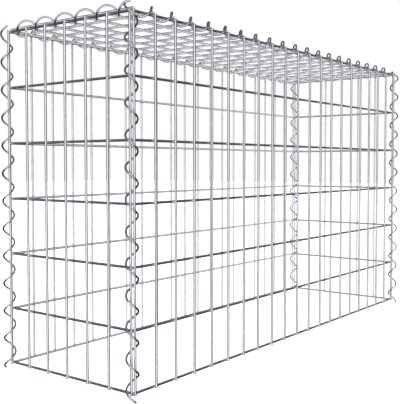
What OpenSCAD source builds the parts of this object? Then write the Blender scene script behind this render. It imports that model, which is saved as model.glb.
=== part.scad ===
// Welded mesh gabion basket, empty and open below, lid and corners laced with spiral wires.
// Origin at the centre of the footprint, at the level of the spirals' cut lower ends. +Z up.

/* [Basket] */
// Length, from edge wire to edge wire along X
basket_length = 1000; // [500:50:2000]
// Depth, from edge wire to edge wire along Y
basket_depth = 300; // [200:50:600]
// Height, from the lowest cross wire to the highest
basket_height = 600; // [300:100:1000]

/* [Mesh] */
// Spacing of the upright wires, and of all the lid's wires
cell_width = 50; // [40:5:100]
// Spacing of the level wires in the four sides
cell_height = 100; // [50:10:100]
// Diameter of the mesh wire
wire_dia = 4.5; // [3:0.1:6]
// Depth that crossing wires are sunk into each other by the weld
weld_bite = 0.5; // [0.3:0.05:0.8]
// How far the upright wires stand past the last level wire
wire_overhang = 2.5; // [2.5:0.1:4]

/* [Spirals] */
// Diameter of the spiral wire
spiral_wire = 3.4; // [2:0.1:4]
// Radius of the spirals, to the middle of their wire
spiral_radius = 9.8; // [9:0.1:13]
// Height of one turn, before it is fitted to whole turns between two crossing wires
spiral_pitch = 50; // [25:5:100]
// How far the corner spirals stand past the last level wires
spiral_tail = 11; // [8:0.5:16]

/* [Hidden] */

steel = [0.72, 0.73, 0.76];
spiral_steel = [0.62, 0.63, 0.66];

r = wire_dia / 2;
bar_sides = 8;
flat_turn = 180 / bar_sides;
bar_r = r / cos(flat_turn);
// distance between the middles of two crossing wires
lap = wire_dia - weld_bite;
// clearance between wires of different panels, and where one wire rests on another
gap = 0.1;
rest_gap = 0.05;
// how far the lid's cross wires reach past the level wires that they rest on
lid_reach = 1.6;
// how far the lid's long wires reach past its last cross wires
lid_long_reach = 1.3;

bottom = spiral_tail;
top = bottom + basket_height;
// how far the level wires' plane stands out past the edge wires' middle, in the long sides and in the ends
side_set_out = 0.3;
end_set_out = 0.4;
front_level_y = basket_depth / 2 + side_set_out;
end_level_x = basket_length / 2 + end_set_out;
// upright wires' plane
front_y = front_level_y + lap;
end_x = end_level_x + lap;

// lid: cross wires rest on the top level wires, long wires hang welded below them
lid_cross_z = top + wire_dia + rest_gap;
lid_long_z = lid_cross_z - lap;
lid_half_y = front_level_y - wire_dia - gap;
lid_long_end = end_level_x - r - gap;
lid_half_x = lid_long_end - lid_long_reach;

function cells(half, cell) = round(2 * half / cell);
function spread(half, cell) = let (n = cells(half, cell)) [for (i = [0 : n]) -half + 2 * half * i / n];
// like spread, but only the two outer wires move in to the given half width
function spread_in(half, cell, inner) = [for (v = spread(half, cell)) max(-inner, min(inner, v))];

level_z = [for (v = spread(basket_height / 2, cell_height)) (bottom + top) / 2 + v];

// ---- bars with eight flats
module bar_x(y, z, x0, x1) {
  translate([x0, y, z])
    rotate([0, 90, 0])
      rotate([0, 0, flat_turn])
        cylinder(h = x1 - x0, r = bar_r, $fn = bar_sides);
}

module bar_y(x, z, y0, y1) {
  translate([x, y1, z])
    rotate([90, 0, 0])
      rotate([0, 0, flat_turn])
        cylinder(h = y1 - y0, r = bar_r, $fn = bar_sides);
}

module bar_z(x, y, z0, z1) {
  translate([x, y, z0])
    rotate([0, 0, flat_turn])
      cylinder(h = z1 - z0, r = bar_r, $fn = bar_sides);
}

// ---- spirals: a tube of rings along a helix about +Z, closed at both ends
ring_n = 12;
side_n = 6;

// pitch nearest to spiral_pitch that makes whole turns between neighbouring wires
function fitted_pitch(half, cell) =
  let (spacing = 2 * half / cells(half, cell)) spacing / max(1, round(spacing / spiral_pitch));

corner_pitch = fitted_pitch(basket_height / 2, cell_height);
lid_pitch = fitted_pitch(basket_length / 2, cell_width);
lid_end_pitch = fitted_pitch(basket_depth / 2, cell_width);

// unit vector along the wire where it stands at angle a
function tangent(a, hand, pitch) =
  let (run = 2 * PI * spiral_radius, v = [-hand * run * sin(a), hand * run * cos(a), pitch]) v / norm(v);

// one ring of the tube at height t; flat = true slides it along the wire onto the plane of that height
function ring(t, a, hand, pitch, flat) =
  let (
    out = [cos(a), sin(a), 0],
    along = tangent(a, hand, pitch),
    side = cross(along, out),
    middle = [spiral_radius * cos(a), spiral_radius * sin(a), t]
  )
  [for (k = [0 : side_n - 1])
    let (
      b = 360 * k / side_n,
      p = middle + spiral_wire / 2 * (cos(b) * out + sin(b) * side)
    )
    flat ? p - along * (p[2] - t) / along[2] : p];

// each four-sided patch is split along the line that leaves the tube full, which depends on the hand
function patch(a, b, hand, half) =
  hand < 0
  ? (half == 0 ? [a, a + side_n, b + side_n] : [a, b + side_n, b])
  : (half == 0 ? [a, a + side_n, b] : [a + side_n, b + side_n, b]);

function tube_faces(n, hand) = concat(
  [for (k = [1 : side_n - 2]) [0, k, k + 1]],
  [for (i = [0 : n - 1], k = [0 : side_n - 1], half = [0, 1])
    patch(i * side_n + k, i * side_n + (k + 1) % side_n, hand, half)],
  [for (k = [1 : side_n - 2]) [n * side_n, n * side_n + k + 1, n * side_n + k]]
);

// about from height t0 to t1; the strand stands at angle a where it passes height at
module spiral(t0, t1, a, at, hand, pitch, flat = false) {
  step = pitch / ring_n;
  n = round((t1 - t0) / step);
  first = flat ? t0 : (t0 + t1 - n * step) / 2;
  points = [for (i = [0 : n])
    let (t = first + i * step)
    each ring(t, a + hand * 360 * (t - at) / pitch, hand, pitch, flat && i == 0)];
  polyhedron(points = points, faces = tube_faces(n, hand));
}

// distance from a spiral's axis to the middle of the wire that it bears on, with room for both wires' flats
flats_room = 0.52;
seat = spiral_radius - spiral_wire / 2 - r - flats_room;

// ---- corner spirals: each bears on the edge wire of the front or back and holds the end's edge wire too
edge_pair = [end_x - basket_length / 2, front_y - basket_depth / 2];
// angle at the bearing wire between the other edge wire and the axis, less where thick wires need it
full_lean = 35.8;
lean = min(full_lean, acos(min(1, norm(edge_pair) / 2 / seat)));
axis_turn = atan2(edge_pair[1], edge_pair[0]) - lean;
corner_x = basket_length / 2 + seat * cos(axis_turn);
corner_y = front_y - seat * sin(axis_turn);
// angle of the strand at the height of the lowest level wire
corner_turn = 186;

module corner_spiral(sx, sy) {
  a = sx < 0 ? (sy < 0 ? corner_turn : -corner_turn) : (sy < 0 ? 180 - corner_turn : 180 + corner_turn);
  translate([sx * corner_x, sy * corner_y, 0])
    spiral(0, top + spiral_tail, a, bottom, -sx * sy, corner_pitch, true);
}

// ---- lid spirals: each bears on a top level wire, at this angle inwards from straight below its axis
lid_lean = 43;
lid_end_lean = 7;
lid_axis_y = front_level_y - seat * sin(lid_lean);
lid_axis_z = top + seat * cos(lid_lean);
lid_axis_x = end_level_x - seat * sin(lid_end_lean);
lid_end_axis_z = top + seat * cos(lid_end_lean);
// angles of the strands at the first cross wire or long wire
lid_turn = 84;
lid_end_turn = 71;
// distance from the edge wires to a lid spiral's ends
lid_inset = 10;
// how much further each end spiral runs towards one corner, front left or back right
lid_end_reach = 8.3;

// ---- nodes
// plan of the room for one panel's level wires: its ends slope at 45 degrees, to meet the next panel's
module mitre_plan(half_run, half_place) {
  reach = wire_dia;
  cut = gap / sqrt(2);
  for (side = [-1, 1]) {
    polygon([
      [-half_run + reach + cut, side * (half_place - reach)],
      [half_run - reach - cut, side * (half_place - reach)],
      [half_run + reach - cut, side * (half_place + reach)],
      [-half_run - reach + cut, side * (half_place + reach)]
    ]);
  }
}

module side_panel(sy) {
  color(steel) {
    for (x = spread(basket_length / 2, cell_width)) {
      bar_z(x, sy * front_y, bottom - wire_overhang, top + wire_overhang);
    }
    intersection() {
      for (z = level_z) {
        bar_x(sy * front_level_y, z, -end_x, end_x);
      }
      linear_extrude(top + wire_dia) mitre_plan(end_level_x, front_level_y);
    }
  }
}

module end_panel(sx) {
  color(steel) {
    for (y = spread(basket_depth / 2, cell_width)) {
      bar_z(sx * end_x, y, bottom - wire_overhang, top + wire_overhang);
    }
    intersection() {
      for (z = level_z) {
        bar_y(sx * end_level_x, z, -front_y, front_y);
      }
      linear_extrude(top + wire_dia) mirror([1, -1, 0]) mitre_plan(front_level_y, end_level_x);
    }
  }
}

module front_panel() {
  side_panel(-1);
}

module back_panel() {
  side_panel(1);
}

module left_end_panel() {
  end_panel(-1);
}

module right_end_panel() {
  end_panel(1);
}

module lid_panel() {
  color(steel) {
    for (x = spread_in(basket_length / 2, cell_width, lid_half_x)) {
      bar_y(x, lid_cross_z, -front_level_y - lid_reach, front_level_y + lid_reach);
    }
    for (y = spread_in(basket_depth / 2, cell_width, lid_half_y)) {
      bar_x(y, lid_long_z, -lid_long_end, lid_long_end);
    }
  }
}

module front_left_spiral() {
  color(spiral_steel) corner_spiral(-1, -1);
}

module front_right_spiral() {
  color(spiral_steel) corner_spiral(1, -1);
}

module back_left_spiral() {
  color(spiral_steel) corner_spiral(-1, 1);
}

module back_right_spiral() {
  color(spiral_steel) corner_spiral(1, 1);
}

// along X: the spiral's own X becomes Y and its own Y becomes Z
module lid_long_spiral() {
  half = basket_length / 2;
  translate([0, -lid_axis_y, lid_axis_z])
    rotate([90, 0, 90])
      spiral(lid_inset - half, half - lid_inset, lid_turn, -half, -1, lid_pitch);
}

// along Y, from back to front: its own X stays X and its own Y becomes Z
module lid_end_spiral() {
  half = basket_depth / 2;
  translate([-lid_axis_x, 0, lid_end_axis_z])
    rotate([90, 0, 0])
      spiral(lid_inset - half, half - lid_inset + lid_end_reach, lid_end_turn, -half, -1, lid_end_pitch);
}

module lid_front_spiral() {
  color(spiral_steel) lid_long_spiral();
}

module lid_back_spiral() {
  color(spiral_steel) rotate([0, 0, 180]) lid_long_spiral();
}

module lid_left_spiral() {
  color(spiral_steel) lid_end_spiral();
}

module lid_right_spiral() {
  color(spiral_steel) rotate([0, 0, 180]) lid_end_spiral();
}

front_panel();
back_panel();
left_end_panel();
right_end_panel();
lid_panel();
front_left_spiral();
front_right_spiral();
back_left_spiral();
back_right_spiral();
lid_front_spiral();
lid_back_spiral();
lid_left_spiral();
lid_right_spiral();
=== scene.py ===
# %% [markdown]
# # An empty gabion basket in welded mesh
#
# The object is a basket for a wall of stones: five panels of straight, welded, zinc-coated wire,
# and eight spirals of thinner wire that lace the panels together along their edges.
# The frame that is loaded here fixes every size. This lesson only builds what the eye sees around it:
# round wire, cut ends, weld beads, and the grey of weathered zinc.

import math

import bpy
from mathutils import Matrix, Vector


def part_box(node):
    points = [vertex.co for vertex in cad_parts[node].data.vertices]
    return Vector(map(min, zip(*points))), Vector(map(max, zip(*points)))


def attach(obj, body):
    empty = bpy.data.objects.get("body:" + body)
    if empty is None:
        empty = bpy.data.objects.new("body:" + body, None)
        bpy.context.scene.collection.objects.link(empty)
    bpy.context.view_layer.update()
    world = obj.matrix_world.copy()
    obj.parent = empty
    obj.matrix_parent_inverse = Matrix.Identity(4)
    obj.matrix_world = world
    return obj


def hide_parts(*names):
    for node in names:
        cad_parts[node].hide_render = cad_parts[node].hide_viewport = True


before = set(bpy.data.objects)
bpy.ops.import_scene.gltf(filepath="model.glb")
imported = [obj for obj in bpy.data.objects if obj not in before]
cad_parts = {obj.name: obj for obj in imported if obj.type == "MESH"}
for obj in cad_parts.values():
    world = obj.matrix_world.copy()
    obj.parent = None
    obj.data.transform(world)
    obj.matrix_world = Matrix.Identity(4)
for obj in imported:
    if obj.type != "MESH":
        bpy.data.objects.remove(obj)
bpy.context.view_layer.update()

# %% [markdown]
# ## Where the camera stands
#
# A basket is looked at from one corner, a little over half its height, so that two sides and the
# underside of the lid show. A long lens keeps the uprights nearly parallel. The camera could be aimed
# with a Track To constraint, but fixed angles say exactly how level it is.

# %% Camera
CAMERA_PLACE = (-1.3076, -0.9178, 0.3723)
CAMERA_PITCH = math.radians(87.660)
CAMERA_HEADING = math.radians(-52.687)

camera_data = bpy.data.cameras.new("camera")
camera_data.lens = 63.29
camera_data.sensor_width = 36
camera_data.shift_x = -0.0249
camera_data.shift_y = -0.0202
camera_data.clip_start = 0.01
camera = bpy.data.objects.new("camera", camera_data)
camera.location = CAMERA_PLACE
camera.rotation_euler = (CAMERA_PITCH, 0, CAMERA_HEADING)
bpy.context.scene.collection.objects.link(camera)
bpy.context.scene.camera = camera
print("camera:", CAMERA_PLACE, "lens", camera_data.lens)

# %% [markdown]
# ## A short way to write node trees
#
# Wires repeat, so Geometry Nodes make them. A tree is easier to read as a list of steps than as a
# long list of links, so a small helper adds one node at a time: each input is given by name,
# and is either another node's output, which gets linked, or a plain value, which gets set.

# %% Node helper
class Steps:
    """Adds nodes to one tree, a node for each call, and returns the output that the next step needs."""

    def __init__(self, tree):
        self.tree = tree

    def node(self, kind, inputs=None, **settings):
        made = self.tree.nodes.new(kind)
        for name, value in settings.items():
            setattr(made, name, value)
        for key, value in (inputs or {}).items():
            if isinstance(key, int):
                socket = made.inputs[key]
            else:
                socket = next(s for s in made.inputs if s.name == key and s.enabled)
            if isinstance(value, bpy.types.NodeSocket):
                self.tree.links.new(value, socket)
            else:
                socket.default_value = value
        return made

    def out(self, kind, inputs=None, output=None, **settings):
        made = self.node(kind, inputs, **settings)
        if output is not None:
            return made.outputs[output]
        return next(s for s in made.outputs if s.enabled)

    def math(self, operation, *values):
        return self.out("ShaderNodeMath", dict(enumerate(values)), operation=operation)

    def vector(self, operation, *values):
        return self.out("ShaderNodeVectorMath", dict(enumerate(values)), operation=operation)

    def dot(self, a, b):
        return self.out("ShaderNodeVectorMath", {0: a, 1: b}, operation="DOT_PRODUCT", output="Value")

    def scaled(self, vector, factor):
        return self.out("ShaderNodeVectorMath", {"Vector": vector, "Scale": factor}, operation="SCALE")

    def within(self, value, limit):
        """The value, held between minus the limit and the limit."""
        held = self.math("MINIMUM", value, limit)
        return self.math("MAXIMUM", held, self.math("MULTIPLY", limit, -1.0))

    def switch(self, test, no, yes):
        return self.out("GeometryNodeSwitch", {"Switch": test, "False": no, "True": yes}, input_type="FLOAT")

    def same(self, a, b):
        """Whether two counts are the same; they are whole numbers, so a quarter tells them apart."""
        inputs = {"A": a, "B": b, "Epsilon": 0.25}
        return self.out("FunctionNodeCompare", inputs, data_type="FLOAT", operation="EQUAL")

    def stored(self, geometry, name, value, data_type="FLOAT"):
        """The geometry with this value noted on every point, for a later node or for the finish."""
        inputs = {"Geometry": geometry, "Name": name, "Value": value}
        return self.out("GeometryNodeStoreNamedAttribute", inputs, data_type=data_type, domain="POINT")

    def noted(self, name, data_type="FLOAT"):
        return self.out("GeometryNodeInputNamedAttribute", {"Name": name}, data_type=data_type)


print("steps:", ", ".join(name for name in vars(Steps) if not name.startswith("_")))

# %% [markdown]
# ## How every tree starts and ends
#
# All trees start and end alike. Their inputs are real sizes in metres, so that they can be read and
# changed on the modifier too. At the end, instances become real faces, because an export drops
# instances, and the faces get their finish from an input as well.

# %% Start and end of a tree
SOCKETS = {float: "NodeSocketFloat", int: "NodeSocketInt", tuple: "NodeSocketVector"}


def new_tree(name, inputs):
    """An empty geometry tree with these named inputs, and the material that its pieces get."""
    tree = bpy.data.node_groups.new(name, "GeometryNodeTree")
    for title, value in inputs.items():
        tree.interface.new_socket(title, in_out="INPUT", socket_type=SOCKETS[type(value)]).default_value = value
    tree.interface.new_socket("Material", in_out="INPUT", socket_type="NodeSocketMaterial")
    tree.interface.new_socket("Geometry", in_out="OUTPUT", socket_type="NodeSocketGeometry")
    steps = Steps(tree)
    return tree, steps, steps.node("NodeGroupInput").outputs


def close_tree(steps, geometry, material):
    """Ends a tree: instances become real faces, and the faces get their finish."""
    real = steps.out("GeometryNodeRealizeInstances", {"Geometry": geometry})
    dressed = steps.out("GeometryNodeSetMaterial", {"Geometry": real, "Material": material})
    steps.node("NodeGroupOutput", {"Geometry": dressed})


print("kinds of input:", ", ".join(sorted(kind.__name__ for kind in SOCKETS)))

# %% [markdown]
# ## A wire, from a line of points
#
# Every wire here is round steel of one thickness that follows a line: straight in the panels, wound in
# the spirals. Drawn wire is never quite even, and its cut end has a worn edge. Curve to Mesh sweeps a
# circle along the points, and the radius shrinks at the last point, which rounds the edge of the cut.
# The sweep also carries three notes for the finish: how far along the wire a point lies, where it is
# around it, and which wire it is. Together they give the place in a straight length of wire,
# so drawing marks and zinc crystals follow a wire round every bend with no seam.

# %% Sweep a circle along points
WIRE_SIDES = 14
END_SHRINK = 0.72
PATTERN_STEP = 3.7
CAP_CORNERS = 5


def swept_wire(steps, points, wire, order, run, radius, is_end):
    """Round wires through points: one curve for each wire number, its points in the given order."""
    kept = steps.stored(points, "run", run)
    kept = steps.stored(kept, "wire", wire)
    kept = steps.stored(kept, "shrink", steps.switch(is_end, 1.0, END_SHRINK))
    curves = steps.out("GeometryNodePointsToCurves",
                       {"Points": kept, "Curve Group ID": wire, "Weight": order})
    curves = steps.out("GeometryNodeSetCurveRadius", {"Curve": curves, "Radius": steps.noted("shrink")})
    circle = steps.out("GeometryNodeCurvePrimitiveCircle", {"Resolution": WIRE_SIDES, "Radius": radius},
                       mode="RADIUS")
    circle = steps.stored(circle, "around", steps.out("GeometryNodeInputPosition"), "FLOAT_VECTOR")
    tube = steps.out("GeometryNodeCurveToMesh", {"Curve": curves, "Profile Curve": circle, "Fill Caps": True})
    offset = steps.math("MULTIPLY", steps.noted("wire"), PATTERN_STEP)
    lengthways = steps.out("ShaderNodeCombineXYZ", {"Z": steps.math("ADD", steps.noted("run"), offset)})
    straight = steps.vector("ADD", steps.noted("around", "FLOAT_VECTOR"), lengthways)
    tube = steps.stored(tube, "straight", straight, "FLOAT_VECTOR")
    corners = steps.out("GeometryNodeInputMeshFaceNeighbors", output="Vertex Count")
    is_side = steps.out("FunctionNodeCompare", {"A": corners, "B": CAP_CORNERS},
                        data_type="INT", operation="LESS_THAN")
    return steps.out("GeometryNodeSetShadeSmooth", {"Geometry": tube, "Shade Smooth": is_side})


print("a wire has", WIRE_SIDES, "sides")

# %% [markdown]
# ## Straight wires with welds at even steps
#
# A mesh panel is two layers of parallel wires. One tree makes such a layer. Points stand closer
# together near the welds, where the shape and the finish change, and further apart between them:
# a sine wave added to an even count does that. A noise bends each wire by a tenth of a millimetre or so.
# Where two panels meet, their wires are cut along one slanting plane, as a joiner cuts a frame, so that
# they come close and never enter each other. Moving the last vertices back to the plane is enough.

# %% Places, and cuts at a limit
MERGED = 0.00002


def half_span(steps, cells, size):
    """Half the distance between the first and the last of some evenly spaced wires."""
    return steps.math("MULTIPLY", steps.math("MULTIPLY", cells, size), 0.5)


def even_place(steps, number, cells, size, limit):
    """Where a wire or weld of this number stands, counted from the middle; the outer ones stop at limit."""
    place = steps.math("SUBTRACT", steps.math("MULTIPLY", number, size), half_span(steps, cells, size))
    return steps.within(place, limit)


def reach(steps, middle, along):
    """How far each vertex lies from middle along a direction."""
    place = steps.vector("SUBTRACT", steps.out("GeometryNodeInputPosition"), middle)
    return steps.dot(place, along)


def trimmed(steps, shapes, middle, along, limit):
    """Cuts wires or beads off at a limit, both ways along a direction, and drops doubled vertices."""
    run = reach(steps, middle, along)
    shift = steps.scaled(along, steps.math("SUBTRACT", steps.within(run, limit), run))
    cut = steps.out("GeometryNodeSetPosition", {"Geometry": shapes, "Offset": shift})
    return steps.out("GeometryNodeMergeByDistance", {"Geometry": cut, "Distance": MERGED})


print("vertices closer than", MERGED * 1000, "mm are merged")

# %% Tree for one layer of wires
RINGS_PER_CELL = 6
END_RINGS = 2
CROWDING = 0.72
CUT_EDGE = 0.0004
BOW = 0.00018
BOW_LENGTH = 0.30
BOW_STEP = 7.3


def straight_wires(steps, middle, along, across, cells, cell, overhang, rows, spacing, limit, radius, seed):
    """One layer: rows + 1 wires, spacing apart, each cells * cell long and an overhang at both ends.

    An overhang below zero ends the wires before the last even place."""
    inner = steps.math("MULTIPLY", cells, RINGS_PER_CELL)
    rings = steps.math("ADD", inner, 1 + 2 * END_RINGS)
    total = steps.math("MULTIPLY", rings, steps.math("ADD", rows, 1))
    points = steps.out("GeometryNodePoints", {"Count": total, "Radius": 0.001})
    index = steps.out("GeometryNodeInputIndex")
    wire = steps.math("FLOOR", steps.math("DIVIDE", steps.math("ADD", index, 0.5), rings))
    ring = steps.math("SUBTRACT", index, steps.math("MULTIPLY", wire, rings))

    count = steps.math("DIVIDE", steps.math("SUBTRACT", ring, END_RINGS), RINGS_PER_CELL)
    count = steps.math("MAXIMUM", steps.math("MINIMUM", count, cells), 0)
    wave = steps.math("SINE", steps.math("MULTIPLY", count, math.tau))
    count = steps.math("SUBTRACT", count, steps.math("MULTIPLY", wave, CROWDING / math.tau))
    half = half_span(steps, cells, cell)
    run = steps.math("SUBTRACT", steps.math("MULTIPLY", count, cell), half)
    centred = steps.math("SUBTRACT", ring, steps.math("MULTIPLY", steps.math("SUBTRACT", rings, 1), 0.5))
    past = steps.math("SUBTRACT", steps.math("ABSOLUTE", centred), steps.math("MULTIPLY", inner, 0.5))
    is_end = steps.same(past, END_RINGS)
    cut = steps.math("MINIMUM", CUT_EDGE, steps.math("MULTIPLY", steps.math("ABSOLUTE", overhang), 0.5))
    extra = steps.math("MULTIPLY", steps.math("GREATER_THAN", past, 0.5), overhang)
    run = steps.math("MULTIPLY_ADD", extra, steps.math("SIGN", centred), run)
    furthest = steps.math("SUBTRACT", steps.math("ADD", half, overhang), steps.switch(is_end, cut, 0.0))
    run = steps.within(run, furthest)
    place = even_place(steps, wire, rows, spacing, limit)

    where = steps.out("ShaderNodeCombineXYZ",
                      {"X": steps.math("DIVIDE", run, BOW_LENGTH), "Y": steps.math("MULTIPLY", wire, BOW_STEP),
                       "Z": seed})
    stray = steps.out("ShaderNodeTexNoise", {"Vector": where, "Scale": 1.0, "Detail": 1.0}, output="Color")
    stray = steps.scaled(steps.vector("SUBTRACT", stray, (0.5, 0.5, 0.5)), 2 * BOW)
    line = steps.vector("ADD", steps.scaled(along, run), steps.scaled(across, place))
    spot = steps.vector("ADD", steps.vector("ADD", middle, line), stray)
    points = steps.out("GeometryNodeSetPosition", {"Geometry": points, "Position": spot})
    return swept_wire(steps, points, wire, ring, run, radius, is_end)


print("rings along a wire:", RINGS_PER_CELL, "for each cell, and", END_RINGS, "past the last weld at each end")

# %% [markdown]
# ## The weld beads
#
# Where two wires cross, a current melts them into each other and squeezes a little metal out of the
# joint. It shows as a flat bead in the corners of the crossing. There are hundreds of them, so each is
# a sphere of few faces, flattened, turned and sized a little differently from the next.

# %% Tree for the beads
BEAD_SEGMENTS = 8
BEAD_RINGS = 5
BEAD_RADIUS = 0.0029
BEAD_SIZES = (0.85, 1.1)
BEAD_THICKNESS = 0.55


def weld_points(steps, middle, across, up, columns, column, column_limit, rows, row, row_limit):
    """A point for each crossing of the two layers."""
    wide = steps.math("ADD", columns, 1)
    total = steps.math("MULTIPLY", wide, steps.math("ADD", rows, 1))
    points = steps.out("GeometryNodePoints", {"Count": total, "Radius": 0.001})
    index = steps.out("GeometryNodeInputIndex")
    j = steps.math("FLOOR", steps.math("DIVIDE", steps.math("ADD", index, 0.5), wide))
    i = steps.math("SUBTRACT", index, steps.math("MULTIPLY", j, wide))
    x = even_place(steps, i, columns, column, column_limit)
    y = even_place(steps, j, rows, row, row_limit)
    spot = steps.vector("ADD", middle, steps.vector("ADD", steps.scaled(across, x), steps.scaled(up, y)))
    return steps.out("GeometryNodeSetPosition", {"Geometry": points, "Position": spot})


def weld_beads(steps, points, normal, seed):
    """A flattened ball on each point, its thin way along the panel's normal."""
    ball = steps.out("GeometryNodeMeshUVSphere",
                     {"Segments": BEAD_SEGMENTS, "Rings": BEAD_RINGS, "Radius": BEAD_RADIUS})
    size = steps.out("FunctionNodeRandomValue", {2: BEAD_SIZES[0], 3: BEAD_SIZES[1], "Seed": seed},
                     data_type="FLOAT")
    flat = steps.math("MULTIPLY", size, BEAD_THICKNESS)
    scale = steps.out("ShaderNodeCombineXYZ", {"X": size, "Y": size, "Z": flat})
    turn = steps.out("FunctionNodeAlignRotationToVector", {"Vector": normal}, axis="Z")
    spin = steps.out("FunctionNodeRandomValue", {2: 0.0, 3: math.tau, "Seed": steps.math("ADD", seed, 1)},
                     data_type="FLOAT")
    spun = steps.out("FunctionNodeAxisAngleToRotation", {"Axis": (0.0, 0.0, 1.0), "Angle": spin})
    turn = steps.out("FunctionNodeRotateRotation", {"Rotation": turn, "Rotate By": spun},
                     rotation_space="LOCAL")
    beads = steps.out("GeometryNodeInstanceOnPoints",
                      {"Points": points, "Instance": ball, "Rotation": turn, "Scale": scale})
    beads = steps.out("GeometryNodeRealizeInstances", {"Geometry": beads})
    beads = steps.stored(beads, "straight", steps.out("GeometryNodeInputPosition"), "FLOAT_VECTOR")
    return steps.out("GeometryNodeSetShadeSmooth", {"Geometry": beads, "Shade Smooth": True})


print("a bead has", BEAD_SEGMENTS * BEAD_RINGS, "faces")

# %% [markdown]
# ## The whole panel
#
# A panel joins the two layers and the beads. The beads are cut where the neighbouring panel begins, as
# the level wires are. Each vertex also notes how far it is from the nearest weld, which Geometry
# Proximity measures, because the heat of the weld dulls the zinc around it.

# %% Tree for a welded panel
BEAD_SEED = 11
LEVEL_SEED = 50


def welded_panel_tree():
    tree, steps, given = new_tree("welded_panel", {
        "Middle": (0.0, 0.0, 0.0), "Across": (1.0, 0.0, 0.0), "Up": (0.0, 0.0, 1.0), "Inwards": (0.0, 1.0, 0.0),
        "Columns": 20, "Column size": 0.05, "Column limit": 9.0, "Rows": 6, "Row size": 0.1, "Row limit": 9.0,
        "Overhang up": 0.0025, "Overhang across": 0.0003, "Mitre": 9.0,
        "Wire radius": 0.00225, "Layer distance": 0.004, "Seed": 1})
    up, across, inwards = given["Up"], given["Across"], given["Inwards"]
    radius, seed = given["Wire radius"], given["Seed"]
    uprights = straight_wires(steps, given["Middle"], up, across, given["Rows"], given["Row size"],
                              given["Overhang up"], given["Columns"], given["Column size"],
                              given["Column limit"], radius, seed)
    second = steps.vector("ADD", given["Middle"], steps.scaled(inwards, given["Layer distance"]))
    levels = straight_wires(steps, second, across, up, given["Columns"], given["Column size"],
                            given["Overhang across"], given["Rows"], given["Row size"],
                            given["Row limit"], radius, steps.math("ADD", seed, LEVEL_SEED))
    mitre = steps.math("SUBTRACT", given["Mitre"], reach(steps, second, inwards))
    levels = trimmed(steps, levels, second, across, mitre)
    contact = steps.scaled(inwards, steps.math("MULTIPLY", given["Layer distance"], 0.5))
    between = steps.vector("ADD", given["Middle"], contact)
    welds = weld_points(steps, between, across, up, given["Columns"], given["Column size"],
                        given["Column limit"], given["Rows"], given["Row size"], given["Row limit"])
    beads = weld_beads(steps, welds, inwards, steps.math("ADD", seed, BEAD_SEED))
    beads = trimmed(steps, beads, second, across, mitre)
    half_width = half_span(steps, given["Columns"], given["Column size"])
    beads = trimmed(steps, beads, second, across, steps.math("ADD", half_width, given["Overhang across"]))
    half_height = half_span(steps, given["Rows"], given["Row size"])
    beads = trimmed(steps, beads, second, up, steps.math("ADD", half_height, radius))
    join = steps.node("GeometryNodeJoinGeometry")
    for part in (beads, levels, uprights):
        tree.links.new(part, join.inputs["Geometry"])
    near = steps.out("GeometryNodeProximity", {"Geometry": welds}, output="Distance", target_element="POINTS")
    close_tree(steps, steps.stored(join.outputs["Geometry"], "weld_distance", near), given["Material"])
    return tree


panel_tree = welded_panel_tree()
print("welded_panel:", len(panel_tree.nodes), "nodes")

# %% [markdown]
# ## The spirals
#
# A lacing spiral is a long, open spring. It is screwed in along an edge, so that each turn goes round
# the edge wires of two panels. A screw modifier could wind it, but a formula also keeps its phase:
# the angle at a known height decides where each turn passes, and both ends keep a clean cut.

# %% Tree for a wound spiral
RINGS_PER_TURN = 36
END_RING = 0.3
UNEVEN = 0.00010
UNEVEN_LENGTH = 0.035
NO_WELD = 1.0


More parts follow.
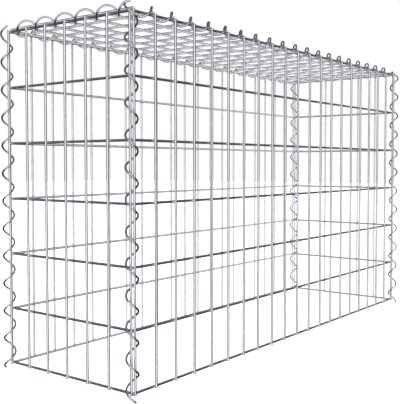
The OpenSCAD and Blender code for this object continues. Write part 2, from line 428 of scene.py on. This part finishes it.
def spiral_tree():
    tree, steps, given = new_tree("wound_spiral", {
        "Middle": (0.0, 0.0, 0.0), "Axis": (0.0, 0.0, 1.0), "Side": (1.0, 0.0, 0.0), "Quarter": (0.0, 1.0, 0.0),
        "Radius": 0.0098, "Pitch": 0.05, "Start": 0.0, "End": 0.6, "Angle": 0.0, "Angle at": 0.0, "Hand": 1.0,
        "Wire radius": 0.0017, "Seed": 1})
    start, end, pitch = given["Start"], given["End"], given["Pitch"]
    length = steps.math("SUBTRACT", end, start)
    rings = steps.math("ROUND", steps.math("DIVIDE", steps.math("MULTIPLY", length, RINGS_PER_TURN), pitch))
    points = steps.out("GeometryNodePoints", {"Count": steps.math("ADD", rings, 1), "Radius": 0.001})
    index = steps.out("GeometryNodeInputIndex")
    before_end = steps.math("SUBTRACT", rings, index)
    share = steps.math("ADD", index, steps.switch(steps.same(index, 1.0), 0.0, END_RING - 1))
    share = steps.math("ADD", share, steps.switch(steps.same(before_end, 1.0), 0.0, 1 - END_RING))
    height = steps.math("MULTIPLY_ADD", steps.math("DIVIDE", share, rings), length, start)
    is_end = steps.same(steps.math("MINIMUM", index, before_end), 0.0)

    turns = steps.math("DIVIDE", steps.math("SUBTRACT", height, given["Angle at"]), pitch)
    turned = steps.math("MULTIPLY", steps.math("MULTIPLY", turns, math.tau), given["Hand"])
    angle = steps.math("ADD", turned, given["Angle"])
    where = steps.out("ShaderNodeCombineXYZ",
                      {"X": steps.math("DIVIDE", height, UNEVEN_LENGTH), "Y": 0.0, "Z": given["Seed"]})
    stray = steps.out("ShaderNodeTexNoise", {"Vector": where, "Scale": 1.0, "Detail": 1.0}, output="Fac")
    radius = steps.math("SUBTRACT", given["Radius"], steps.math("MULTIPLY", stray, UNEVEN))
    out = steps.math("MULTIPLY", radius, steps.math("COSINE", angle))
    off = steps.math("MULTIPLY", radius, steps.math("SINE", angle))
    circle = steps.vector("ADD", steps.scaled(given["Side"], out), steps.scaled(given["Quarter"], off))
    lift = steps.scaled(given["Axis"], height)
    spot = steps.vector("ADD", given["Middle"], steps.vector("ADD", circle, lift))
    points = steps.out("GeometryNodeSetPosition", {"Geometry": points, "Position": spot})

    circumference = steps.math("MULTIPLY", given["Radius"], math.tau)
    turn_length = steps.math("SQRT", steps.math("ADD", steps.math("POWER", circumference, 2.0),
                                                steps.math("POWER", pitch, 2.0)))
    run = steps.math("MULTIPLY", steps.math("DIVIDE", height, pitch), turn_length)
    tube = swept_wire(steps, points, steps.math("MULTIPLY", index, 0.0), index, run,
                      given["Wire radius"], is_end)
    close_tree(steps, steps.stored(tube, "weld_distance", NO_WELD), given["Material"])
    return tree


wound_tree = spiral_tree()
print("wound_spiral:", len(wound_tree.nodes), "nodes,", RINGS_PER_TURN, "rings a turn")

# %% [markdown]
# ## Zinc-coated wire
#
# Fresh galvanised wire is bright, a little blue, and never even: zinc sets in small crystals, long
# drawing marks run with the wire, and dull patches form where it lay in the coil. The pattern reads the
# place in the straightened wire, so it is stretched along every wire alike, bent or straight.
# Four layers are enough: patches for colour, crystals for colour and gloss, marks for gloss and bump,
# and fine pits for the bump alone.
# Near a weld the heat leaves a darker, rougher ring, which the noted distance gives.

# %% Zinc material
PATCHES_PER_M = 55
CRYSTALS_PER_M = 420
MARKS_PER_M = 900
PITS_PER_M = 1500
TONE_RANGE = (0.32, 0.70)
MARKS_SQUEEZE = (1.0, 1.0, 0.06)
BUMP_HEIGHT = 0.00012
WELD_RING = (0.0026, 0.0055)
WELD_DULLING = 0.22
ASH = (0.55, 0.54, 0.52)


def zinc(name, dull, bright, roughness, crystal_strength):
    """A zinc coat that varies between two greys, with its crystals, drawing marks and pits."""
    material = bpy.data.materials.new(name)
    material.use_nodes = True
    material.node_tree.nodes.clear()
    steps = Steps(material.node_tree)
    place = steps.out("ShaderNodeAttribute", output="Vector", attribute_name="straight")
    heat = steps.out("ShaderNodeAttribute", output="Fac", attribute_name="weld_distance")

    patches = steps.out("ShaderNodeTexNoise",
                        {"Vector": place, "Scale": PATCHES_PER_M, "Detail": 4.0, "Roughness": 0.6},
                        output="Fac")
    cells = steps.node("ShaderNodeTexVoronoi", {"Vector": place, "Scale": CRYSTALS_PER_M, "Randomness": 1.0})
    crystal = steps.out("ShaderNodeSeparateColor", {"Color": cells.outputs["Color"]}, output="Red")
    squeezed = steps.vector("MULTIPLY", place, MARKS_SQUEEZE)
    marks = steps.out("ShaderNodeTexNoise",
                      {"Vector": squeezed, "Scale": MARKS_PER_M, "Detail": 3.0, "Roughness": 0.55},
                      output="Fac")
    pits = steps.out("ShaderNodeTexNoise", {"Vector": place, "Scale": PITS_PER_M, "Detail": 2.0}, output="Fac")

    mixed = steps.math("MULTIPLY_ADD", steps.math("SUBTRACT", crystal, 0.5), crystal_strength, patches)
    tone = steps.out("ShaderNodeMapRange",
                     {"Value": mixed, "From Min": TONE_RANGE[0], "From Max": TONE_RANGE[1]}, clamp=True)
    colour = steps.out("ShaderNodeMix", {"Factor": tone, "A": dull, "B": bright}, data_type="RGBA", output=2)
    burnt = steps.out("ShaderNodeMapRange",
                      {"Value": heat, "From Min": WELD_RING[0], "From Max": WELD_RING[1],
                       "To Min": WELD_DULLING, "To Max": 0.0}, interpolation_type="SMOOTHSTEP")
    ash = (*(tint * share for tint, share in zip(dull, ASH)), 1.0)
    colour = steps.out("ShaderNodeMix", {"Factor": burnt, "A": colour, "B": ash}, data_type="RGBA", output=2)

    rough = steps.math("MULTIPLY_ADD", steps.math("SUBTRACT", crystal, 0.5), 0.12, roughness)
    rough = steps.math("MULTIPLY_ADD", steps.math("SUBTRACT", marks, 0.5), 0.16, rough)
    rough = steps.math("MULTIPLY_ADD", burnt, 0.25, rough)
    relief = steps.math("MULTIPLY_ADD", pits, 0.35, marks)
    bump = steps.out("ShaderNodeBump", {"Height": relief, "Strength": 0.35, "Distance": BUMP_HEIGHT})
    shader = steps.node("ShaderNodeBsdfPrincipled",
                        {"Base Color": colour, "Metallic": 1.0, "Roughness": rough, "Normal": bump})
    steps.node("ShaderNodeOutputMaterial", {"Surface": shader.outputs["BSDF"]})
    return material


mesh_zinc = zinc("mesh_zinc", (0.64, 0.65, 0.67, 1.0), (0.78, 0.785, 0.805, 1.0), 0.22, 0.10)
spiral_zinc = zinc("spiral_zinc", (0.58, 0.59, 0.61, 1.0), (0.72, 0.73, 0.75, 1.0), 0.18, 0.10)
print("materials:", mesh_zinc.name, spiral_zinc.name)

# %% [markdown]
# ## From tree to plain mesh
#
# A piece starts as an empty mesh with the tree as its modifier. Its inputs are set by identifier, and
# the evaluated result is copied into a plain mesh at the origin, so that nothing live is left on it.

# %% Run a tree
def built(name, tree, material, values):
    """The tree's result for these inputs, as a plain object at the origin."""
    start = bpy.data.objects.new(name + "_start", bpy.data.meshes.new(name + "_start"))
    bpy.context.scene.collection.objects.link(start)
    modifier = start.modifiers.new("wires", "NODES")
    modifier.node_group = tree
    identifiers = {s.name: s.identifier for s in tree.interface.items_tree if s.in_out == "INPUT"}
    for title, value in values.items():
        modifier[identifiers[title]] = value
    modifier[identifiers["Material"]] = material
    bpy.context.view_layer.update()
    evaluated = start.evaluated_get(bpy.context.evaluated_depsgraph_get())
    mesh = bpy.data.meshes.new_from_object(evaluated)
    mesh.name = name
    start.modifiers.clear()
    bpy.data.objects.remove(start)
    for leftover in ("run", "wire", "shrink", "around"):
        if leftover in mesh.attributes:
            mesh.attributes.remove(mesh.attributes[leftover])
    piece = bpy.data.objects.new(name, mesh)
    bpy.context.scene.collection.objects.link(piece)
    return piece


def hand_over(piece, node):
    """The piece stands for its CAD node: it rides on the root body, the node is hidden, and both sizes are
    printed.
    """
    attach(piece, "root")
    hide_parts(node)
    low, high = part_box(node)
    size = [round(c * 1000, 1) for c in piece.dimensions]
    print(piece.name, "triangles", sum(len(p.vertices) - 2 for p in piece.data.polygons), "size mm", size,
          "frame mm", [round(c * 1000, 1) for c in high - low])


print("pieces stay at the origin, unturned; their place is in the mesh")

# %% [markdown]
# ## The four sides
#
# Front and back have 20 by 6 cells, the ends 6 by 6. The uprights are the outer layer, so that the
# stones press the level wires against them. Each layer's plane follows from its frame node's box,
# less half a wire. One tree makes all four, because only the sizes and the directions differ.

# %% Side panels
WIRE = 0.0045
CELL_WIDTH = 0.05
CELL_HEIGHT = 0.1
OVERHANG = 0.0025
NO_LIMIT = 9.0
X, Y, Z = Vector((1, 0, 0)), Vector((0, 1, 0)), Vector((0, 0, 1))


def side_panel(name, node, across, inwards, seed):
    """A side panel between its node's planes; across and inwards are unit vectors of the ground plane."""
    low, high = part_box(node)
    thickness = abs((high - low).dot(inwards))
    outer = (low + high) / 2 - inwards * (thickness / 2 - WIRE / 2)
    width = abs((high - low).dot(across))
    height = high.z - low.z - 2 * OVERHANG
    columns, rows = int(width / CELL_WIDTH), round(height / CELL_HEIGHT)
    mitre = (width - WIRE) / 2
    piece = built(name, panel_tree, mesh_zinc, {
        "Middle": outer, "Across": across, "Up": Z, "Inwards": inwards,
        "Columns": columns, "Column size": CELL_WIDTH, "Column limit": NO_LIMIT,
        "Rows": rows, "Row size": height / rows, "Row limit": NO_LIMIT,
        "Overhang up": OVERHANG, "Overhang across": mitre - columns * CELL_WIDTH / 2 + WIRE, "Mitre": mitre,
        "Wire radius": WIRE / 2, "Layer distance": thickness - WIRE, "Seed": seed})
    hand_over(piece, node)
    return piece


front_mesh = side_panel("front_mesh", "front_panel", X, Y, 1)
back_mesh = side_panel("back_mesh", "back_panel", X, -Y, 2)
left_end_mesh = side_panel("left_end_mesh", "left_end_panel", Y, X, 3)
right_end_mesh = side_panel("right_end_mesh", "right_end_panel", Y, -X, 4)
print("cells", CELL_WIDTH, "by", CELL_HEIGHT, "m, wire", WIRE, "m")

# %% [markdown]
# ## The lid
#
# The lid has square cells. Its cross wires lie on the top level wires of the front and the back, and
# its long wires hang below them, inside the basket, so the outermost of both stand a little further in
# than an even spacing would put them. It is a fifth panel of the same tree, laid flat.

# %% Lid panel
LID_LONG_REACH = 0.0013
LEVEL_CLEARANCE = 0.0001


def lid_panel():
    """The lid: its uprights are the cross wires along Y, and its level wires run along X."""
    low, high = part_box("lid_panel")
    front_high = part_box("front_panel")[1]
    front_level_y = -front_high.y + WIRE / 2
    columns, rows = round((high.x - low.x) / CELL_WIDTH), int((high.y - low.y) / CELL_WIDTH)
    cross_limit = high.x - WIRE / 2
    long_end = cross_limit + LID_LONG_REACH
    return built("lid_mesh", panel_tree, mesh_zinc, {
        "Middle": Vector((0, 0, high.z - WIRE / 2)), "Across": X, "Up": Y, "Inwards": -Z,
        "Columns": columns, "Column size": CELL_WIDTH, "Column limit": cross_limit,
        "Rows": rows, "Row size": CELL_WIDTH, "Row limit": front_level_y - WIRE - LEVEL_CLEARANCE,
        "Overhang up": high.y - rows * CELL_WIDTH / 2,
        "Overhang across": long_end - columns * CELL_WIDTH / 2, "Mitre": NO_LIMIT,
        "Wire radius": WIRE / 2, "Layer distance": high.z - low.z - WIRE, "Seed": 5})


lid_mesh = lid_panel()
hand_over(lid_mesh, "lid_panel")
print("lid: its long wires reach", LID_LONG_REACH * 1000, "mm past the last cross wires")

# %% [markdown]
# ## The eight lacing spirals
#
# Four stand in the corners and four lie along the lid's edges. A spiral's axis is the middle of its
# frame node's box, and its radius is half the box less half the wire. The angles say where a strand
# stands at the first crossing wire: the front left corner is wound one way, its neighbours the other.

# %% Spirals
SPIRAL_WIRE = 0.0034
SPIRAL_PITCH = 0.05
CORNER_ANGLE = math.radians(186)
LID_ANGLE = math.radians(84)
LID_END_ANGLE = math.radians(71)
LOWEST_LEVEL = 0.011


def spiral(name, node, axis, side, quarter, angle, angle_at, hand, seed):
    """A spiral in its node's box; angle is where its strand stands at angle_at along the axis."""
    low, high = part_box(node)
    middle = (low + high) / 2
    middle -= axis * middle.dot(axis)
    wide = abs((high - low).dot(side))
    radius = wide / 2 - SPIRAL_WIRE / 2
    slope = math.atan2(SPIRAL_PITCH, math.tau * radius)
    cut_reach = SPIRAL_WIRE / 2 * math.cos(slope)
    ends = sorted((low.dot(axis), high.dot(axis)))
    piece = built(name, wound_tree, spiral_zinc, {
        "Middle": middle, "Axis": axis, "Side": side, "Quarter": quarter,
        "Radius": radius, "Pitch": SPIRAL_PITCH, "Start": ends[0] + cut_reach, "End": ends[1] - cut_reach,
        "Angle": angle, "Angle at": angle_at, "Hand": float(hand),
        "Wire radius": SPIRAL_WIRE / 2, "Seed": seed})
    hand_over(piece, node)
    return piece


print("spiral wire", SPIRAL_WIRE, "m,", SPIRAL_PITCH, "m a turn")

# %% Corner spirals
CORNER_SEED = 21

for seed, (name, node, sx, sy) in enumerate((
        ("front_left_lacing", "front_left_spiral", -1, -1), ("front_right_lacing", "front_right_spiral", 1, -1),
        ("back_left_lacing", "back_left_spiral", -1, 1), ("back_right_lacing", "back_right_spiral", 1, 1))):
    spiral(name, node, Z, X * -sx, Y * -sy, CORNER_ANGLE, LOWEST_LEVEL, -1, CORNER_SEED + seed)
print("corner spirals: strand at", round(math.degrees(CORNER_ANGLE)), "degrees,", LOWEST_LEVEL, "m up")

# %% Lid spirals
LID_SEED = 31


def first_upright(node, across):
    """Where a side panel's first upright stands: half its cells from the middle."""
    low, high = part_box(node)
    return -int((high - low).dot(across) / CELL_WIDTH) * CELL_WIDTH / 2


front_start = first_upright("front_panel", X)
end_start = first_upright("left_end_panel", Y)
spiral("lid_front_lacing", "lid_front_spiral", X, Y, Z, LID_ANGLE, front_start, -1, LID_SEED)
spiral("lid_back_lacing", "lid_back_spiral", -X, -Y, Z, LID_ANGLE, front_start, -1, LID_SEED + 1)
spiral("lid_left_lacing", "lid_left_spiral", -Y, X, Z, LID_END_ANGLE, end_start, -1, LID_SEED + 2)
spiral("lid_right_lacing", "lid_right_spiral", Y, -X, Z, LID_END_ANGLE, end_start, -1, LID_SEED + 3)
print("lid spirals: counted from the uprights at", front_start, "and", end_start, "m")

# %% [markdown]
# ## The floor
#
# A pale floor keeps the eye on the wires. It is hidden from gloss, because its reflection would turn
# the underside of every wire white.

# %% Floor
FLOOR_HALF = 12

floor_mesh = bpy.data.meshes.new("floor")
floor_mesh.from_pydata([(-FLOOR_HALF, -FLOOR_HALF, 0), (FLOOR_HALF, -FLOOR_HALF, 0),
                        (FLOOR_HALF, FLOOR_HALF, 0), (-FLOOR_HALF, FLOOR_HALF, 0)], [], [(0, 1, 2, 3)])
floor = bpy.data.objects.new("floor", floor_mesh)
bpy.context.scene.collection.objects.link(floor)
floor.visible_glossy = False
pale = bpy.data.materials.new("pale_floor")
pale.use_nodes = True
pale.node_tree.nodes["Principled BSDF"].inputs["Base Color"].default_value = (0.93, 0.93, 0.93, 1.0)
pale.node_tree.nodes["Principled BSDF"].inputs["Roughness"].default_value = 0.9
floor_mesh.materials.append(pale)
print("floor at z 0,", 2 * FLOOR_HALF, "m wide")

# %% [markdown]
# ## The surroundings
#
# Metal shows what stands around it, so the light is mostly made as surroundings: bright behind the
# camera, cool and dim on its left, dim on its right. Uprights then catch a bright line down their
# middle, and level wires, which never mirror what is behind the camera, stay dark. A sky texture
# would be quicker to set up, but one tint for each side says plainly which side does what.

# %% Surroundings
CAMERA_SIDE = (-0.795, -0.606, 0.0)
RIGHT_SIDE = (0.606, -0.795, 0.0)
TOP_SIDE = (0.0, 0.0, 1.0)
LEFT_TINT = (0.155, 0.165, 0.19, 1.0)
RIGHT_TINT = (0.115, 0.112, 0.115, 1.0)
FAR_TINT = (0.14, 0.14, 0.145, 1.0)
TOP_TINT = (0.15, 0.18, 0.27, 1.0)
UNDER_TINT = (0.032, 0.030, 0.022, 1.0)
KEY = (1.30, 1.30, 1.34, 1.0)
BACKDROP = (1.0, 1.0, 1.0, 1.0)

world = bpy.data.worlds.new("studio")
world.use_nodes = True
world.node_tree.nodes.clear()
bpy.context.scene.world = world
steps = Steps(world.node_tree)
direction = steps.out("ShaderNodeTexCoord", output="Generated")


def blend(towards, start, full, first, second):
    """Surroundings that change from first to second as a direction turns towards a side."""
    facing = steps.dot(direction, towards)
    share = steps.out("ShaderNodeMapRange", {"Value": facing, "From Min": start, "From Max": full},
                      interpolation_type="SMOOTHSTEP")
    return steps.out("ShaderNodeMix", {"Factor": share, "A": first, "B": second}, data_type="RGBA", output=2)


sides = blend(RIGHT_SIDE, -0.4, 0.4, LEFT_TINT, RIGHT_TINT)
around = blend(CAMERA_SIDE, -0.45, -0.9, sides, FAR_TINT)
above = blend(TOP_SIDE, 0.3, 0.75, around, TOP_TINT)
below = blend(TOP_SIDE, -0.25, -0.65, above, UNDER_TINT)
lit = blend(CAMERA_SIDE, 0.52, 0.82, below, KEY)
seen = steps.out("ShaderNodeLightPath", output="Is Camera Ray")
shown = steps.out("ShaderNodeMix", {"Factor": seen, "A": lit, "B": BACKDROP}, data_type="RGBA", output=2)
background = steps.node("ShaderNodeBackground", {"Color": shown, "Strength": 1.0})
steps.node("ShaderNodeOutputWorld", {"Surface": background.outputs["Background"]})
print("surroundings:", len(world.node_tree.nodes), "nodes")

# %% [markdown]
# ## The lamps
#
# Light linking lets a lamp light chosen objects and no others. The floor has a lamp of its own, so
# that it stays even and pale with no shadow. The far panels and the lid get soft fill lamps, so that
# they are paler than the near ones and the eye can tell the layers of wire apart.

# %% Lamps
AIM = (0.0, 0.0, 0.3)
LID_PIECES = ("lid_mesh", "lid_back_lacing", "lid_right_lacing")
FAR_PIECES = ("back_mesh", "right_end_mesh", "back_right_lacing") + LID_PIECES
SOFT_DOME = math.radians(120)
WIDE_DOME = math.radians(160)
FLOOR_LIGHT = 4.6
LID_LIGHT = 1.35
FILL_SIZE = 3.5
FILLS = (("right_fill", (2.4, -1.8, 0.3), 32, FAR_PIECES), ("left_fill", (-2.4, 1.8, 0.3), 32, FAR_PIECES),
         ("rear_fill", (2.4, 1.8, 0.8), 26, FAR_PIECES))


def lamp(kind, name, place, power, size, receivers):
    """A soft lamp at place, facing the basket; only the receivers get its light and cast shadows in it."""
    light = bpy.data.lights.new(name, kind)
    light.energy = power
    if kind == "SUN":
        light.angle = size
    else:
        light.size = size
    made = bpy.data.objects.new(name, light)
    made.location = place
    made.rotation_euler = (Vector(AIM) - Vector(place)).to_track_quat("-Z", "Y").to_euler()
    made.visible_camera = False
    bpy.context.scene.collection.objects.link(made)
    lit_pieces = bpy.data.collections.new(name + "_receivers")
    for receiver in receivers:
        lit_pieces.objects.link(bpy.data.objects[receiver])
    made.light_linking.receiver_collection = lit_pieces
    made.light_linking.blocker_collection = lit_pieces


lamp("SUN", "floor_light", (0.0, 0.0, 4.0), FLOOR_LIGHT, SOFT_DOME, ("floor",))
lamp("SUN", "lid_light", (1.2, 0.9, -2.5), LID_LIGHT, WIDE_DOME, LID_PIECES)
for name, place, watts, receivers in FILLS:
    lamp("AREA", name, place, watts, FILL_SIZE, receivers)
bpy.context.scene.view_settings.view_transform = "Standard"
print("view transform:", bpy.context.scene.view_settings.view_transform)

# %% [markdown]
# ## Sizes
# #
# # The built pieces must fill the frame's box and not pass it, so hand_over prints both sizes for every piece.
